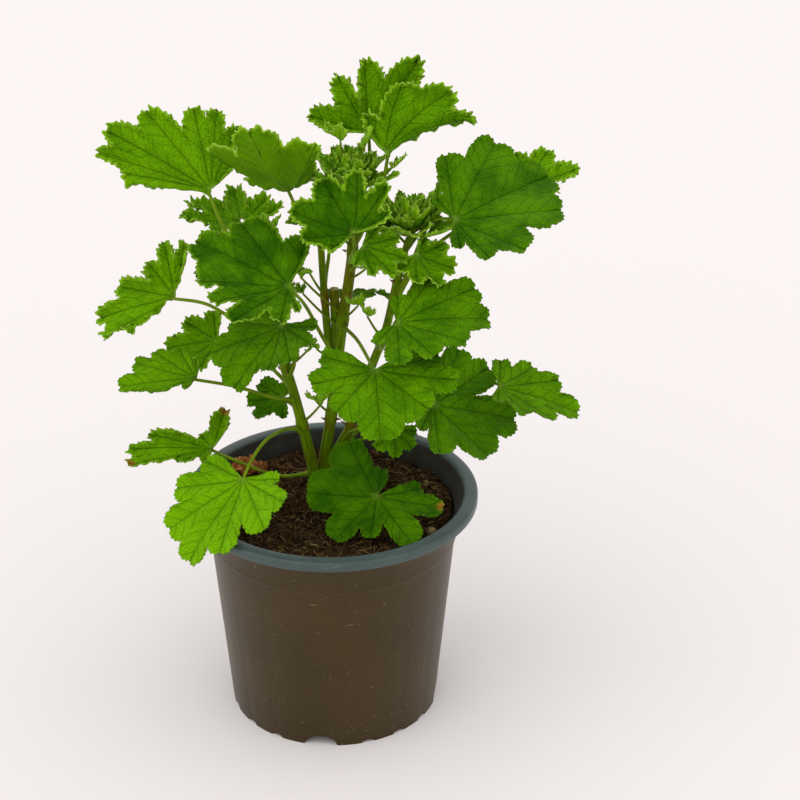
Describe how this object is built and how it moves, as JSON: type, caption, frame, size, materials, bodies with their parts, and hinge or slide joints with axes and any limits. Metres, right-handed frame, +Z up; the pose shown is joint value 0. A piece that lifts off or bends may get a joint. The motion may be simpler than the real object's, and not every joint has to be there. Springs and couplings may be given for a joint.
{
  "type": "potted scented geranium",
  "caption": "Young citronella scented geranium with upright forked stems and lobed, toothed leaves, growing in a round tapered nursery pot with a scalloped foot.",
  "frame": {"origin": "middle of the pot's foot, on the surface that the pot stands on", "axes": "+Z up along the pot's axis, -Y towards the side that the plant is seen from, +X to the right seen from that side"},
  "size_m": [0.2132, 0.13, 0.2983],
  "materials": {
    "pot_plastic": "satin",
    "peat": "matte",
    "stem": "satin",
    "leaf": "satin",
    "leaf_bright": "satin",
    "young_leaf": "satin",
    "dead_litter": "matte",
    "pellet": "satin"
  },
  "bodies": {
    "root": {"pot": "pot_plastic", "soil": "peat", "stems": "stem", "shoot_tip_centre": "young_leaf", "shoot_tip_right": "young_leaf", "leaf_top": "leaf", "leaf_top_right": "leaf", "leaf_centre": "leaf", "leaf_centre_lower": "leaf", "leaf_right_upper": "leaf", "leaf_right_rear": "leaf", "leaf_right_inner": "leaf", "leaf_right_middle": "leaf", "leaf_front_centre": "leaf", "leaf_right_lower": "leaf", "leaf_far_right": "leaf", "leaf_under_centre": "leaf", "leaf_over_soil": "leaf", "leaf_front_left": "leaf_bright", "leaf_far_left_low": "leaf", "leaf_left_middle": "leaf", "leaf_left_rear": "leaf", "leaf_far_left": "leaf", "leaf_left_large": "leaf", "leaf_left_lower": "leaf", "leaf_upper_left_inner": "leaf", "leaf_upper_left": "leaf", "leaf_top_left": "leaf", "leaf_low_rear_left": "leaf", "leaf_rear_left": "leaf", "leaf_rear_upper": "leaf", "leaf_rear_centre": "leaf", "leaf_rear_right": "leaf", "leaf_rear_low": "leaf", "dead_stalk": "dead_litter", "dead_leaf": "dead_litter", "feed_pellet": "pellet"}
  },
  "joints": []
}
